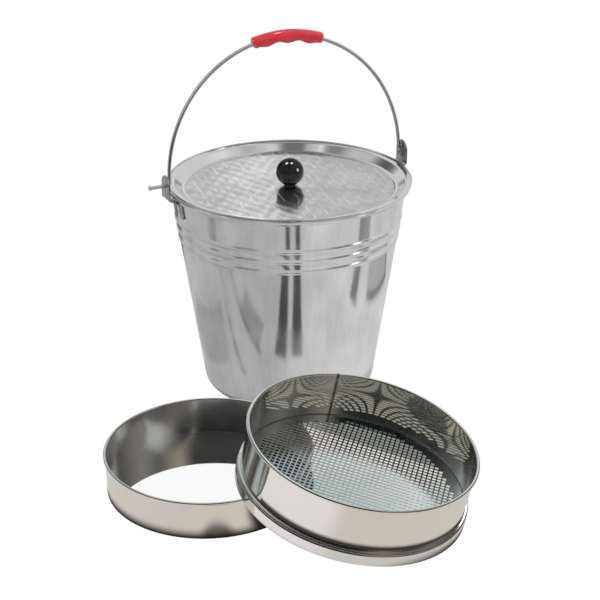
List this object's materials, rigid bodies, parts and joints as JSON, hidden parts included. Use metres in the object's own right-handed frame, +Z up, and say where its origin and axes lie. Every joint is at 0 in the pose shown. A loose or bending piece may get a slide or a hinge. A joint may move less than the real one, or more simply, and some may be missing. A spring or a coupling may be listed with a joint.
{
  "type": "double sieve strainer",
  "caption": "Lidded steel pail with a hinged bail handle, a plain clamping ring and a round perforated sieve that leans on the ring.",
  "frame": {"origin": "centre of the pail's base on the floor", "axes": "+Z up, -Y to the front where the ring and the sieve lie, +X to the right"},
  "size_m": [0.4425, 0.6495, 0.4843],
  "materials": {
    "pail_steel": "polished, faint vertical brushing",
    "wire_steel": "drawn wire",
    "ear_steel": "stamped, satin",
    "rivet_steel": "satin",
    "bail_steel": "bright drawn wire",
    "red_grip": "semi-gloss moulded",
    "lid_steel": "polished and embossed",
    "black_knob": "high gloss",
    "brass_insert": "turned",
    "black_collar": "gloss",
    "screw_steel": "plated",
    "ring_steel": "mirror polished",
    "sieve_steel": "mirror polished",
    "plate_steel": "bright rolled sheet with punched holes"
  },
  "bodies": {
    "pail": {"pail_shell": "pail_steel", "pail_rim_wire": "wire_steel", "left_ear": "ear_steel", "right_ear": "ear_steel", "left_ear_rivets": "rivet_steel", "right_ear_rivets": "rivet_steel"},
    "bail": {"bail_wire": "bail_steel", "bail_grip": "red_grip"},
    "lid": {"lid_pan": "lid_steel", "lid_knob": "black_knob", "knob_insert": "brass_insert", "knob_collar": "black_collar", "knob_screw": "screw_steel", "knob_washer": "screw_steel"},
    "ring": {"ring_band": "ring_steel", "ring_rim_wire": "wire_steel"},
    "sieve": {"sieve_wall": "sieve_steel", "sieve_rim_wire": "wire_steel", "perforated_plate": "plate_steel", "seam_ring": "sieve_steel", "skirt_ring": "sieve_steel"}
  },
  "joints": [
    {"name": "bail_swing", "type": "hinge", "parent": "pail", "child": "bail", "pos_m": [0, 0, 0.3055], "axis": [0.8988, 0.4384, 0], "range_deg": [-86, 94]},
    {"name": "lid_lift", "type": "slide", "parent": "pail", "child": "lid", "axis": [0, 0, 1], "range_m": [0, 0.03]},
    {"name": "ring_slide", "type": "slide", "parent": "pail", "child": "ring", "axis": [-0.9373, 0.3486, 0], "range_m": [0, 0.08]},
    {"name": "sieve_lift", "type": "slide", "parent": "pail", "child": "sieve", "axis": [0, 0, 1], "range_m": [0, 0.12]}
  ]
}
